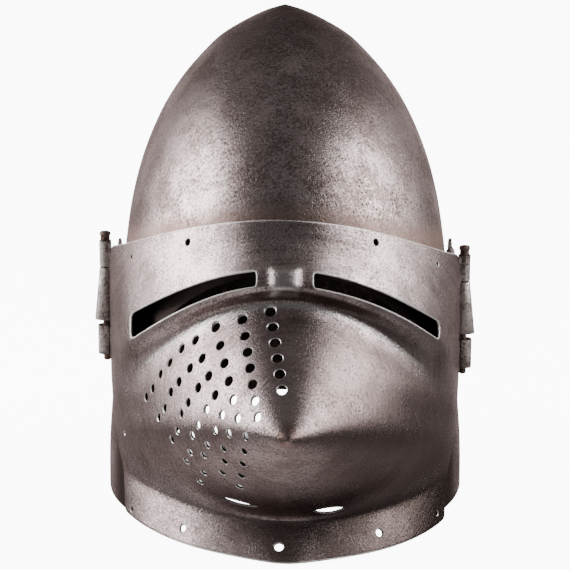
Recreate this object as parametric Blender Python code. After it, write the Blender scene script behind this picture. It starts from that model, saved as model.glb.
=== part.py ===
"""Hounskull bascinet: a pointed steel skull with a snouted visor on two temple pivots.

Metres, +Z up, the face looks along -Y, the wearer's left is +X.
The helmet stands on the flat lower rim of its skull at z = 0, with the visor closed.
"""

import math

import bmesh
import bpy
from mathutils import Matrix, Vector

# Driving dimensions of the skull
SKULL_HEIGHT = 0.317
SKULL_HALF_WIDTH = 0.118
SKULL_FRONT = 0.1255
SKULL_BACK = 0.1335
SKULL_WALL = 0.0018
SKULL_SIDES = 40
APEX_SET_BACK = 0.045
RIM_TRIM = 0.008
FACE_HALF_WIDTH = 0.0896
FACE_ARCH_SPRING = 0.085
FACE_ARCH_RISE = 0.0915
NAPE_ARCH_HALF_WIDTH = 0.078
NAPE_ARCH_RISE = 0.030
LACE_HOLE_RADIUS = 0.0013
LACE_HOLE_HEIGHT = 0.0055
LACE_HOLE_ANGLES = (72.0, 79.0)
ARCH_STEPS = 18
CUT_REACH = 0.2
CUT_OVERSHOOT = 0.02
DRILL_LENGTH = 0.02

# Driving dimensions of the visor
VISOR_HEIGHT = 0.211
VISOR_INSET = 0.0034
VISOR_STAND = 0.0115
VISOR_HALF_WIDTH = SKULL_HALF_WIDTH - VISOR_INSET
VISOR_DEPTH = SKULL_FRONT + VISOR_STAND
VISOR_WALL = 0.0016
VISOR_LEAN = 0.026
SNOUT_REACH = 0.215
SNOUT_TIP_HEIGHT = 0.1007
SNOUT_TIP_SIDE = 0.002
SNOUT_WIDTH_SHARE = 0.97
SNOUT_TIP_POWER = 1.85
SNOUT_FOOT_POWER = 3.4
SNOUT_SOFTNESS = 0.05
LIP_STAND = 0.010
LIP_FADE_START = 0.86
LIP_FADE_END = 0.96
SIGHT_INNER_SHARE = 0.15
SIGHT_OUTER_SHARE = 0.84
BOSS_SHARE = 0.082
BOSS_STAND = 0.0035
BOSS_RISE = 0.7
BOSS_FALL = 1.6
LEFT_SIGHT_LIFT = 0.0046
REAR_EDGE_LOW = 0.055
FLANGE_KEEL = 0.003
FLANGE_KEEL_SHARE = 0.15
BREATH_HOLE_RADIUS = 0.0033
OUTER_BREATH_HOLE_RADIUS = 0.0026
LOW_HOLE_SHARE = 0.72
LOW_HOLE_START = 0.35
LOW_HOLE_END = 0.60
BROW_HOLE_RADIUS = 0.0021
FLANGE_HOLE_RADIUS = 0.0027

# Driving dimensions of the hinges and pivots
PIN_AXIS_BACK = 0.003
PIN_RADIUS = 0.0024
PIN_NECK_RADIUS = 0.0031
PIN_NECK_HEIGHT = 0.0032
PIN_HEAD_RADIUS = 0.0037
PIN_HEAD_HEIGHT = 0.0028
PIN_TAIL = 0.0045
PIN_SIDES = 12
KNUCKLE_WALL = 0.0013
KNUCKLE_STEPS = 11
KNUCKLE_TURN = 300.0
KNUCKLE_TAIL = 0.0105
HINGE_DROP = 0.0020
HINGE_SIDE_DROP = 0.0048
UPPER_KNUCKLE_LENGTH = 0.0169
MIDDLE_KNUCKLE_LENGTH = 0.0345
LOWER_KNUCKLE_LENGTH = 0.0191
UPPER_KNUCKLE_GAP = 0.0011
LOWER_KNUCKLE_GAP = 0.0042
MIDDLE_KNUCKLE_FLARE = 0.0020
LOWER_KNUCKLE_SLACK = 0.0009
PIVOT_BACK = 0.022
PIVOT_HEIGHT = 0.153
PIVOT_RADIUS = 0.0026
PIVOT_COLLAR_RADIUS = 0.0045
PIVOT_HEAD_RADIUS = 0.0060
PIVOT_HEAD_HEIGHT = 0.0022
PIVOT_INNER_HEAD = 0.0014
ARM_DISC_RADIUS = 0.012
ARM_WALL = 0.0017
ARM_STAND = 0.0014
ARM_JOGGLE_START = 0.008
ARM_JOGGLE_END = 0.014
ARM_EDGE_STEP = 0.002
SEAT_STAND = 0.0013
CLEARANCE = 0.0003

# The whole helmet is shifted so that its box is centred on the origin
FRAME_BACK = (SNOUT_REACH - SKULL_BACK) / 2.0

# Rings of the skull from the crown down: shares of SKULL_HEIGHT, SKULL_HALF_WIDTH,
# SKULL_FRONT and SKULL_BACK, and where the ring is widest, as a share of APEX_SET_BACK.
SKULL_RINGS = [
    # height, width, front, back, widest
    (1.000, 0.000, -0.359, 0.337, 1.00),
    (0.986, 0.112, -0.195, 0.470, 1.00),
    (0.965, 0.228, -0.010, 0.580, 0.99),
    (0.936, 0.357, 0.200, 0.683, 0.96),
    (0.902, 0.455, 0.375, 0.760, 0.92),
    (0.855, 0.566, 0.578, 0.842, 0.86),
    (0.800, 0.665, 0.755, 0.905, 0.76),
    (0.738, 0.746, 0.890, 0.950, 0.65),
    (0.675, 0.806, 0.978, 0.978, 0.54),
    (0.610, 0.848, 1.000, 0.993, 0.42),
    (0.540, 0.876, 0.994, 1.000, 0.32),
    (0.470, 0.898, 0.983, 0.990, 0.32),
    (0.380, 0.923, 0.968, 0.972, 0.36),
    (0.280, 0.952, 0.952, 0.957, 0.40),
    (0.170, 0.980, 0.930, 0.950, 0.44),
    (0.080, 0.997, 0.910, 0.960, 0.46),
    (0.000, 1.000, 0.895, 0.972, 0.46),
]

# Rows of the visor from the top edge down: centre and side height as shares of
# VISOR_HEIGHT, depth as a share of VISOR_DEPTH, how pinched the plan is, the stand of
# the row as a share of LIP_STAND, and its rear edge as a share of REAR_EDGE_LOW.
VISOR_ROWS = [
    # name, centre height, side height, depth, pinch, stand, rear edge
    ("top_edge", 1.000, 0.783, 0.952, 1.57, 0.00, 0.21),
    ("brow", 0.945, 0.715, 0.975, 1.40, 0.04, 0.08),
    ("brow_foot", 0.898, 0.620, 0.998, 1.27, 0.34, 0.07),
    ("upper_lip", 0.874, 0.550, 1.010, 1.22, 0.72, 0.07),
    ("lower_lip", 0.833, 0.466, 1.022, 1.18, 0.95, 0.07),
    ("lip_underside", 0.812, 0.438, 1.027, 1.17, 0.75, 0.07),
    ("valley", 0.787, 0.385, 1.026, 1.15, 0.10, 0.18),
    ("crease", 0.770, 0.335, 1.022, 1.13, 0.00, 0.36),
    ("flange_crease", 0.107, 0.135, 0.940, 0.99, 0.00, 1.00),
    ("flange_edge", 0.014, 0.016, 1.060, 1.00, 0.00, 1.18),
]

# Breath holes on the wearer's right of the snout, one row for each line of holes: the share
# across and the share down the snout of the first and the last hole, and how many.
BREATH_LINES = [
    # first across, first down, last across, last down, count
    (0.078, 0.030, 0.027, 0.279, 6),
    (0.225, 0.042, 0.157, 0.371, 7),
    (0.368, 0.040, 0.261, 0.382, 6),
    (0.479, 0.055, 0.310, 0.451, 6),
    (0.556, 0.061, 0.340, 0.540, 6),
    (0.626, 0.093, 0.428, 0.530, 5),
    (0.682, 0.124, 0.454, 0.600, 5),
    (0.731, 0.185, 0.463, 0.731, 5),
    (0.773, 0.225, 0.490, 0.815, 5),
    (0.220, 0.457, 0.261, 0.786, 5),
    (0.340, 0.621, 0.355, 0.701, 2),
]

# Round holes of the visor: share across, row position, and radius.
ROUND_HOLES = [
    (-0.517, 0.67, BROW_HOLE_RADIUS),
    (0.485, 0.51, BROW_HOLE_RADIUS),
    (-0.849, 0.72, 0.7 * BROW_HOLE_RADIUS),
    (0.844, 0.70, 0.7 * BROW_HOLE_RADIUS),
    (-0.937, 7.52, 0.6 * BROW_HOLE_RADIUS),
    (-0.950, 8.80, 0.7 * FLANGE_HOLE_RADIUS),
    (-0.614, 8.62, 0.8 * FLANGE_HOLE_RADIUS),
    (-0.036, 8.62, FLANGE_HOLE_RADIUS),
    (0.567, 8.56, 0.9 * FLANGE_HOLE_RADIUS),
    (0.940, 8.70, 0.6 * FLANGE_HOLE_RADIUS),
]

# Mouth slits: share across and row position of both ends, and half the opening.
MOUTH_SLITS = [
    (-0.375, 7.894, -0.159, 7.921, 0.0016),
    (0.166, 7.945, 0.342, 7.949, 0.0032),
]
HOLE_SIDES = 8
HOLE_REACH = 0.006

# The two sides of the helmet: direction along X, and the wearer's side
SIDES = [(1.0, "left"), (-1.0, "right")]

ROW_NUMBER = {row[0]: number for number, row in enumerate(VISOR_ROWS)}
CREASE = ROW_NUMBER["crease"]
FLANGE_CREASE = ROW_NUMBER["flange_crease"]


def clear_scene():
    for old in list(bpy.data.objects):
        bpy.data.objects.remove(old, do_unlink=True)


def make_material(name, colour, roughness, metallic=1.0):
    material = bpy.data.materials.new(name)
    material.use_nodes = True
    shader = material.node_tree.nodes["Principled BSDF"]
    shader.inputs["Base Color"].default_value = (*colour, 1.0)
    shader.inputs["Roughness"].default_value = roughness
    shader.inputs["Metallic"].default_value = metallic
    return material


def make_object(name, mesh_builder, material=None, parent=None):
    mesh = bpy.data.meshes.new(name)
    mesh_builder.to_mesh(mesh)
    mesh_builder.free()
    made = bpy.data.objects.new(name, mesh)
    bpy.context.collection.objects.link(made)
    made.parent = parent
    if material is not None:
        mesh.materials.append(material)
        mesh.shade_smooth()
        mesh.set_sharp_from_angle(angle=math.radians(40.0))
    return made


def make_cutter(name, mesh_builder, parent):
    cutter = make_object(name, mesh_builder, None, parent)
    cutter.hide_render = True
    cutter.display_type = "WIRE"
    return cutter


def add_boolean(target, other, operation="DIFFERENCE"):
    boolean = target.modifiers.new(other.name, "BOOLEAN")
    boolean.operation = operation
    boolean.object = other
    boolean.solver = "EXACT"


def add_wall(target, thickness):
    solidify = target.modifiers.new("wall", "SOLIDIFY")
    solidify.thickness = thickness
    solidify.offset = -1.0
    solidify.use_even_offset = True


def smooth_step(low, high, value):
    share = min(1.0, max(0.0, (value - low) / (high - low)))
    return share * share * (3.0 - 2.0 * share)


def mix(low, high, share):
    return low + (high - low) * share


def prism(outline, direction, length):
    """A closed prism: a flat outline of points, extruded along a direction."""
    builder = bmesh.new()
    corners = [builder.verts.new(point) for point in outline]
    face = builder.faces.new(corners)
    made = bmesh.ops.extrude_face_region(builder, geom=[face])
    moved = [item for item in made["geom"] if isinstance(item, bmesh.types.BMVert)]
    bmesh.ops.translate(builder, verts=moved, vec=Vector(direction).normalized() * length)
    bmesh.ops.recalc_face_normals(builder, faces=builder.faces)
    return builder


def add_cylinder(builder, centre, axis, radius, length, sides):
    """A closed cylinder in an open builder, centred on a point along an axis."""
    turn = Vector((0.0, 0.0, 1.0)).rotation_difference(Vector(axis)).to_matrix().to_4x4()
    bmesh.ops.create_cone(
        builder, cap_ends=True, segments=sides, radius1=radius, radius2=radius,
        depth=length, matrix=Matrix.Translation(centre) @ turn)


# The skull

def skull_point(angle, ring):
    """A point of the outer skin: angle from the front (-Y) towards +X, ring by number."""
    height, width, front, back, widest = SKULL_RINGS[ring]
    low = height * SKULL_HEIGHT
    if ring == len(SKULL_RINGS) - 1:
        low = -RIM_TRIM
    middle = widest * APEX_SET_BACK
    reach = middle + front * SKULL_FRONT if math.cos(angle) > 0.0 else back * SKULL_BACK - middle
    across = width * SKULL_HALF_WIDTH * math.sin(angle)
    return Vector((across, middle - reach * math.cos(angle), low))


def arch_outline(half_width, back, spring, rise):
    """An arch that starts below the rim, in a plane across the helmet."""
    outline = [(-half_width, back, -CUT_OVERSHOOT)]
    for step in range(ARCH_STEPS + 1):
        turn = math.pi * step / ARCH_STEPS
        outline.append((-half_width * math.cos(turn), back, spring + rise * math.sin(turn)))
    outline.append((half_width, back, -CUT_OVERSHOOT))
    return outline


def build_skull(material, parent):
    rings = len(SKULL_RINGS) - 1
    builder = bmesh.new()
    bmesh.ops.create_uvsphere(builder, u_segments=SKULL_SIDES, v_segments=2 * rings, radius=1.0)
    below = [vert for vert in builder.verts if vert.co.z < -0.001]
    bmesh.ops.delete(builder, geom=below, context="VERTS")
    for vert in builder.verts:
        ring = round(math.acos(min(1.0, max(-1.0, vert.co.z))) / (math.pi / 2.0) * rings)
        angle = math.atan2(vert.co.x, -vert.co.y)
        vert.co = skull_point(angle, ring)
    skull = make_object("skull", builder, material, parent)
    add_wall(skull, SKULL_WALL)

    floor_cut = bmesh.new()
    bmesh.ops.create_cube(floor_cut, size=1.0, matrix=Matrix.Translation((0.0, 0.0, -0.5)))
    add_boolean(skull, make_cutter("rim_plane", floor_cut, parent))

    arch = arch_outline(FACE_HALF_WIDTH, 0.0, FACE_ARCH_SPRING, FACE_ARCH_RISE)
    face_cut = prism(arch, (0.0, -1.0, 0.0), CUT_REACH)
    add_boolean(skull, make_cutter("face_opening", face_cut, parent))
    arch = arch_outline(NAPE_ARCH_HALF_WIDTH, APEX_SET_BACK, 0.0, NAPE_ARCH_RISE)
    nape_cut = prism(arch, (0.0, 1.0, 0.0), CUT_REACH)
    add_boolean(skull, make_cutter("nape_arch", nape_cut, parent))

    drills = bmesh.new()
    for side, name in SIDES:
        place = (side * skull_half_width(PIVOT_HEIGHT), PIVOT_BACK, PIVOT_HEIGHT)
        add_cylinder(drills, place, (1.0, 0.0, 0.0), PIVOT_RADIUS + CLEARANCE, DRILL_LENGTH, PIN_SIDES)
        for angle in LACE_HOLE_ANGLES:
            turn = side * math.radians(angle)
            place = skull_point(turn, len(SKULL_RINGS) - 2)
            place.z = LACE_HOLE_HEIGHT
            outward = (math.sin(turn), -math.cos(turn), 0.0)
            add_cylinder(drills, place, outward, LACE_HOLE_RADIUS, DRILL_LENGTH, HOLE_SIDES)
    add_boolean(skull, make_cutter("skull_holes", drills, parent))
    return skull


# The visor

def visor_row(position):
    """Sizes of the visor at a row position, read between the rows of the table."""
    number = min(len(VISOR_ROWS) - 2, max(0, int(position)))
    share = position - number
    upper = VISOR_ROWS[number][1:]
    lower = VISOR_ROWS[number + 1][1:]
    centre, side, depth, pinch, stand, rear = (mix(a, b, share) for a, b in zip(upper, lower))
    return (centre * VISOR_HEIGHT, side * VISOR_HEIGHT, depth * VISOR_DEPTH, pinch,
            stand * LIP_STAND, rear * REAR_EDGE_LOW)


def tip_position():
    centre_top = VISOR_ROWS[CREASE][1] * VISOR_HEIGHT
    centre_low = VISOR_ROWS[FLANGE_CREASE][1] * VISOR_HEIGHT
    return (centre_top - SNOUT_TIP_HEIGHT) / (centre_top - centre_low)


def snout_share(share, position):
    """How much of the snout's length a point has: 1 at the tip, 0 round its foot."""
    along = position - CREASE
    if along <= 0.0 or along >= 1.0:
        return 0.0
    tip = tip_position()
    tall = (along - tip) / tip if along < tip else (along - tip) / (1.0 - tip)
    wide = abs(share) / SNOUT_WIDTH_SHARE
    near = (wide ** SNOUT_TIP_POWER + abs(tall) ** SNOUT_TIP_POWER) ** (1.0 / SNOUT_TIP_POWER)
    far = (wide ** SNOUT_FOOT_POWER + abs(tall) ** SNOUT_FOOT_POWER) ** (1.0 / SNOUT_FOOT_POWER)
    upper = smooth_step(-0.1, 0.8, -tall)
    reach = mix(near, far, upper * smooth_step(0.2, 0.9, far))
    rise = SNOUT_SOFTNESS * math.log1p(math.exp((1.0 - reach) / SNOUT_SOFTNESS))
    edge = (1.0 - abs(tall) ** 10) * max(0.0, 1.0 - abs(share) ** 8)
    return rise * edge


def boss_stand(share, position):
    """The rounded boss between the sights, which runs from above the lips to below them."""
    upper = ROW_NUMBER["upper_lip"]
    round_share = math.sqrt(max(0.0, 1.0 - (share / BOSS_SHARE) ** 2))
    rise = smooth_step(upper - BOSS_RISE, upper, position)
    fall = 1.0 - smooth_step(upper + BOSS_FALL, upper + BOSS_FALL + 1.0, position)
    return BOSS_STAND * round_share * rise * fall


def sight_lift(share, position):
    """The lower lip of the wearer's left sight climbs at its outer end, so that sight narrows."""
    lower = ROW_NUMBER["lower_lip"]
    outwards = smooth_step(SIGHT_INNER_SHARE, SIGHT_OUTER_SHARE, share)
    rise = smooth_step(lower - 1.0, lower, position)
    fall = 1.0 - smooth_step(lower + 1.0, CREASE + 0.2, position)
    return LEFT_SIGHT_LIFT * outwards * rise * fall


def visor_point(share, position):
    """A point of the outer skin: share across (-1 to 1), row position down the table."""
    centre, side, depth, pinch, stand, back = visor_row(position)
    widest = math.sqrt(max(0.0, 1.0 - (back / depth) ** (2.0 / pinch)))
    sine = share * widest
    cosine = math.sqrt(max(0.0, 1.0 - sine * sine))
    across = VISOR_HALF_WIDTH * sine
    forward = depth * cosine ** pinch
    fade = 1.0 - smooth_step(LIP_FADE_START, LIP_FADE_END, abs(share))
    forward += stand * fade
    forward += boss_stand(share, position)
    snout = snout_share(share, position)
    tip_depth = 0.5 * (VISOR_ROWS[CREASE][3] + VISOR_ROWS[FLANGE_CREASE][3]) * VISOR_DEPTH
    forward += (SNOUT_REACH - tip_depth) * snout
    across += SNOUT_TIP_SIDE * snout
    if position > FLANGE_CREASE:
        forward += FLANGE_KEEL * (position - FLANGE_CREASE) * math.exp(-(share / FLANGE_KEEL_SHARE) ** 2)
    height = mix(centre, side, share * share) - VISOR_LEAN * across
    return Vector((across, -forward, height + sight_lift(share, position)))


def visor_normal(share, position):
    """The outward direction of the outer skin."""
    step = 0.004
    across = visor_point(share + step, position) - visor_point(share - step, position)
    down = visor_point(share, position + step) - visor_point(share, position - step)
    normal = down.cross(across).normalized()
    return normal if normal.y < 0.0 else -normal


def grid_shares():
    """Shares across the visor where the mesh has a column, the sights' ends among them."""
    half = [0.0, 0.04, BOSS_SHARE, SIGHT_INNER_SHARE]
    between = 8
    for step in range(1, between + 1):
        half.append(mix(SIGHT_INNER_SHARE, SIGHT_OUTER_SHARE, step / between))
    half += [0.88, 0.92, 0.95, 0.975, 1.0]
    return [-value for value in reversed(half[1:])] + half


def grid_positions():
    """Row positions of the mesh: the table's rows, and rows over snout and flange."""
    tip = tip_position()
    above = [0.07, 0.18, 0.32, 0.48, 0.64, 0.78, 0.90]
    below = [0.08, 0.20, 0.34, 0.50, 0.66, 0.80, 0.91, 0.97]
    rows = [0.0, 1.0, 1.5, 2.0] + [float(number) for number in range(3, CREASE + 1)]
    rows += [CREASE + tip * share for share in above] + [CREASE + tip]
    rows += [CREASE + mix(tip, 1.0, share) for share in below]
    rows += [float(FLANGE_CREASE), FLANGE_CREASE + 0.35, FLANGE_CREASE + 0.7, FLANGE_CREASE + 1.0]
    return rows


def build_visor(material, parent):
    shares = grid_shares()
    rows = grid_positions()
    columns = len(shares) - 1
    builder = bmesh.new()
    bmesh.ops.create_grid(builder, x_segments=columns, y_segments=len(rows) - 1, size=0.5)
    sights = []
    upper = ROW_NUMBER["upper_lip"]
    for face in builder.faces:
        middle = face.calc_center_median()
        share = shares[int((middle.x + 0.5) * columns)] if middle.x > 0 else \
            shares[int((middle.x + 0.5) * columns) + 1]
        row = rows[int((0.5 - middle.y) * (len(rows) - 1))]
        if row == upper and SIGHT_INNER_SHARE - 0.001 < abs(share) < SIGHT_OUTER_SHARE - 0.001:
            sights.append(face)
    for vert in builder.verts:
        share = shares[round((vert.co.x + 0.5) * columns)]
        row = rows[round((0.5 - vert.co.y) * (len(rows) - 1))]
        vert.co = visor_point(share, row)
    bmesh.ops.delete(builder, geom=sights, context="FACES")
    builder.normal_update()
    if sum(face.normal.y for face in builder.faces) > 0.0:
        bmesh.ops.reverse_faces(builder, faces=builder.faces)
    visor = make_object("visor", builder, material, parent)
    add_wall(visor, VISOR_WALL)
    for side, name in SIDES:
        for part_name, knuckle in visor_knuckles(side):
            add_boolean(visor, make_cutter(part_name + "_" + name, knuckle, parent), "UNION")
    add_boolean(visor, make_cutter("visor_holes", hole_cutters(), parent))
    for number, slit in enumerate(MOUTH_SLITS):
        add_boolean(visor, make_cutter("mouth_slit_" + str(number), slit_cutter(slit), parent))
    return visor


def hole_cutters():
    """All round cutters of the visor, each along the outward direction where it stands."""
    builder = bmesh.new()
    holes = list(ROUND_HOLES)
    for first_across, first_down, last_across, last_down, count in BREATH_LINES:
        for number in range(count):
            share = number / (count - 1)
            across = mix(first_across, last_across, share)
            down = mix(first_down, last_down, share)
            radius = mix(BREATH_HOLE_RADIUS, OUTER_BREATH_HOLE_RADIUS, across)
            radius *= mix(1.0, LOW_HOLE_SHARE, smooth_step(LOW_HOLE_START, LOW_HOLE_END, down))
            holes.append((-across, CREASE + down, radius))
    for across, position, radius in holes:
        add_cylinder(builder, visor_point(across, position), visor_normal(across, position),
                     radius, 2.0 * HOLE_REACH, HOLE_SIDES)
    return builder


def slit_cutter(slit):
    """A lens-shaped prism between the two ends of a mouth slit."""
    first_across, first_down, last_across, last_down, half_open = slit
    start = visor_point(first_across, first_down)
    end = visor_point(last_across, last_down)
    normal = visor_normal(0.5 * (first_across + last_across), 0.5 * (first_down + last_down))
    along = end - start
    upright = normal.cross(along).normalized()
    steps = 6
    lower = [start + along * (step / steps) - upright * half_open * math.sin(math.pi * step / steps)
             for step in range(steps)]
    upper = [start + along * (step / steps) + upright * half_open * math.sin(math.pi * step / steps)
             for step in range(steps, 0, -1)]
    outline = [point - normal * HOLE_REACH for point in lower + upper]
    return prism(outline, normal, 2.0 * HOLE_REACH)


# The hinges

def skull_half_width(height):
    """Half the width of the skull at a height, read between its rings."""
    share = height / SKULL_HEIGHT
    for upper, lower in zip(SKULL_RINGS, SKULL_RINGS[1:]):
        if lower[0] <= share <= upper[0]:
            down = (upper[0] - share) / (upper[0] - lower[0])
            return mix(upper[1], lower[1], down) * SKULL_HALF_WIDTH
    return SKULL_HALF_WIDTH


def hinge_plane():
    """How far out the outer face of the visor's side plate lies beside the hinge."""
    return abs(visor_point(-1.0, float(ROW_NUMBER["lower_lip"])).x)


def pin_out():
    return hinge_plane() + PIN_RADIUS + CLEARANCE


def arm_plane():
    """The inner face of the arm's disc, just clear of the skull's widest place behind it."""
    return skull_half_width(PIVOT_HEIGHT - ARM_DISC_RADIUS) + ARM_STAND


def knuckle_heights(side):
    """Bottom and top of the upper, middle and lower knuckle of one side."""
    top = VISOR_ROWS[0][2] * VISOR_HEIGHT - HINGE_DROP - side * HINGE_SIDE_DROP
    upper = (top - UPPER_KNUCKLE_LENGTH, top)
    top = upper[0] - UPPER_KNUCKLE_GAP
    middle = (top - MIDDLE_KNUCKLE_LENGTH, top)
    top = middle[0] - LOWER_KNUCKLE_GAP
    lower = (top - LOWER_KNUCKLE_LENGTH, top)
    return upper, middle, lower


def curl_outline(side, centre_out, bore, tail_side, height):
    """A plate rolled round the pin, seen from above; its tail runs to the front or the back."""
    outer = bore + KNUCKLE_WALL
    turns = [math.radians(180.0 - KNUCKLE_TURN * step / KNUCKLE_STEPS)
             for step in range(KNUCKLE_STEPS + 1)]
    around = [(math.cos(turn), -tail_side * math.sin(turn)) for turn in turns]
    points = [(-outer, tail_side * KNUCKLE_TAIL)]
    points += [(outer * across, outer * back) for across, back in around]
    points += [(bore * across, bore * back) for across, back in reversed(around)]
    points += [(-bore, tail_side * KNUCKLE_TAIL)]
    return [Vector((side * (centre_out + across), PIN_AXIS_BACK + back, height))
            for across, back in points]


def rolled_knuckle(side, heights, low_bore, high_bore, tail_side):
    """A rolled knuckle, which may open out towards its lower end; its inner side stays plumb."""
    tight = PIN_RADIUS + CLEARANCE
    low = curl_outline(side, pin_out() + low_bore - tight, low_bore, tail_side, heights[0])
    high = curl_outline(side, pin_out() + high_bore - tight, high_bore, tail_side, heights[1])
    builder = prism(low, (0.0, 0.0, 1.0), heights[1] - heights[0])
    middle = 0.5 * (heights[0] + heights[1])
    for vert in builder.verts:
        if vert.co.z > middle:
            nearest = min(range(len(low)), key=lambda number: (low[number].xy - vert.co.xy).length)
            vert.co = high[nearest]
    bmesh.ops.recalc_face_normals(builder, faces=builder.faces)
    return builder


def visor_knuckles(side):
    upper, middle, lower = knuckle_heights(side)
    bore = PIN_RADIUS + CLEARANCE
    slack = bore + LOWER_KNUCKLE_SLACK
    return [("upper_knuckle", rolled_knuckle(side, upper, bore, bore, -1.0)),
            ("lower_knuckle", rolled_knuckle(side, lower, slack, slack, -1.0))]


def build_arm(side, name, material, parent):
    """A cranked plate from the temple pivot to the middle knuckle."""
    upper, middle, lower = knuckle_heights(side)
    bore = PIN_RADIUS + CLEARANCE
    inner = arm_plane()
    outer_bore = bore + MIDDLE_KNUCKLE_FLARE
    knuckle_plane = pin_out() - bore - 0.5 * (KNUCKLE_WALL + ARM_WALL)
    front = PIN_AXIS_BACK + ARM_EDGE_STEP
    stations = [front, 0.5 * (front + ARM_JOGGLE_START), ARM_JOGGLE_START, ARM_JOGGLE_END]
    fan = [120.0, 90.0, 65.0, 40.0, 18.0]
    low_edge = middle[0] + ARM_EDGE_STEP
    high_edge = middle[1] - 0.25 * ARM_EDGE_STEP
    spans = []
    neck = PIVOT_BACK + ARM_DISC_RADIUS * math.cos(math.radians(fan[0]))
    for station in stations:
        share = smooth_step(front, neck, station)
        half = ARM_DISC_RADIUS * math.sin(math.radians(fan[0]))
        spans.append((station, mix(low_edge, PIVOT_HEIGHT - half, share),
                      mix(high_edge, PIVOT_HEIGHT + half, share)))
    for turn in fan:
        half = ARM_DISC_RADIUS * math.sin(math.radians(turn))
        spans.append((PIVOT_BACK + ARM_DISC_RADIUS * math.cos(math.radians(turn)),
                      PIVOT_HEIGHT - half, PIVOT_HEIGHT + half))
    builder = bmesh.new()
    bmesh.ops.create_grid(builder, x_segments=len(spans) - 1, y_segments=1, size=0.5)
    for vert in builder.verts:
        back, low, high = spans[round((vert.co.x + 0.5) * (len(spans) - 1))]
        plane = mix(knuckle_plane, inner, smooth_step(ARM_JOGGLE_START, ARM_JOGGLE_END, back))
        vert.co = Vector((side * plane, back, high if vert.co.y > 0.0 else low))
    made = bmesh.ops.extrude_face_region(builder, geom=list(builder.faces))
    moved = [item for item in made["geom"] if isinstance(item, bmesh.types.BMVert)]
    bmesh.ops.translate(builder, verts=moved, vec=(side * ARM_WALL, 0.0, 0.0))
    bmesh.ops.recalc_face_normals(builder, faces=builder.faces)
    arm = make_object("pivot_arm_" + name, builder, material, parent)
    knuckle = rolled_knuckle(side, middle, outer_bore, bore, 1.0)
    add_boolean(arm, make_cutter("middle_knuckle_" + name, knuckle, parent), "UNION")
    hole = bmesh.new()
    add_cylinder(hole, (side * inner, PIVOT_BACK, PIVOT_HEIGHT), (1.0, 0.0, 0.0),
                 PIVOT_RADIUS + CLEARANCE, DRILL_LENGTH, PIN_SIDES)
    add_boolean(arm, make_cutter("arm_hole_" + name, hole, parent))
    return arm


def lathe(name, profile, axis, material, parent, place):
    """A turned piece: radius and distance along the axis, spun into one closed body."""
    builder = bmesh.new()
    corners = [builder.verts.new((radius, 0.0, along)) for radius, along in profile]
    edges = [builder.edges.new(pair) for pair in zip(corners, corners[1:])]
    bmesh.ops.spin(builder, geom=corners + edges, cent=(0.0, 0.0, 0.0), axis=(0.0, 0.0, 1.0),
                   angle=2.0 * math.pi, steps=PIN_SIDES, use_merge=True)
    bmesh.ops.remove_doubles(builder, verts=builder.verts, dist=0.00001)
    turn = Vector((0.0, 0.0, 1.0)).rotation_difference(Vector(axis)).to_matrix().to_4x4()
    bmesh.ops.transform(builder, matrix=turn, verts=builder.verts)
    bmesh.ops.recalc_face_normals(builder, faces=builder.faces)
    made = make_object(name, builder, material, parent)
    made.location = place
    return made


def build_pin(side, name, material, parent):
    """A headed pin: its neck rests on the upper knuckle, its tail stands out below."""
    upper, middle, lower = knuckle_heights(side)
    top = upper[1] + CLEARANCE
    bottom = lower[0] - PIN_TAIL
    head = top + PIN_NECK_HEIGHT
    profile = [
        (0.0, bottom), (0.8 * PIN_RADIUS, bottom), (PIN_RADIUS, bottom + 0.25 * PIN_RADIUS),
        (PIN_RADIUS, top), (PIN_NECK_RADIUS, top), (PIN_NECK_RADIUS, head),
        (PIN_HEAD_RADIUS, head + 0.15 * PIN_HEAD_HEIGHT), (PIN_HEAD_RADIUS, head + 0.7 * PIN_HEAD_HEIGHT),
        (0.6 * PIN_HEAD_RADIUS, head + PIN_HEAD_HEIGHT), (0.0, head + PIN_HEAD_HEIGHT)]
    place = Vector((side * pin_out(), PIN_AXIS_BACK, 0.0))
    return lathe("hinge_pin_" + name, profile, (0.0, 0.0, 1.0), material, parent, place)


def build_pivot(side, name, material, parent):
    """A temple rivet: inner head, shank through skull and arm, collar between, domed head."""
    skin = skull_half_width(PIVOT_HEIGHT)
    inside = skin - SKULL_WALL - SEAT_STAND
    seat = skin + SEAT_STAND
    arm = arm_plane() - CLEARANCE
    head = arm_plane() + ARM_WALL + CLEARANCE
    profile = [
        (0.0, inside - PIVOT_INNER_HEAD), (0.8 * PIVOT_COLLAR_RADIUS, inside - PIVOT_INNER_HEAD),
        (PIVOT_COLLAR_RADIUS, inside - 0.4 * PIVOT_INNER_HEAD), (PIVOT_COLLAR_RADIUS, inside),
        (PIVOT_RADIUS, inside), (PIVOT_RADIUS, seat), (PIVOT_COLLAR_RADIUS, seat),
        (PIVOT_COLLAR_RADIUS, arm), (PIVOT_RADIUS, arm), (PIVOT_RADIUS, head),
        (PIVOT_HEAD_RADIUS, head), (0.9 * PIVOT_HEAD_RADIUS, head + 0.5 * PIVOT_HEAD_HEIGHT),
        (0.5 * PIVOT_HEAD_RADIUS, head + 0.9 * PIVOT_HEAD_HEIGHT), (0.0, head + PIVOT_HEAD_HEIGHT)]
    place = Vector((0.0, PIVOT_BACK, PIVOT_HEIGHT))
    return lathe("pivot_rivet_" + name, profile, (side, 0.0, 0.0), material, parent, place)


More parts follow.
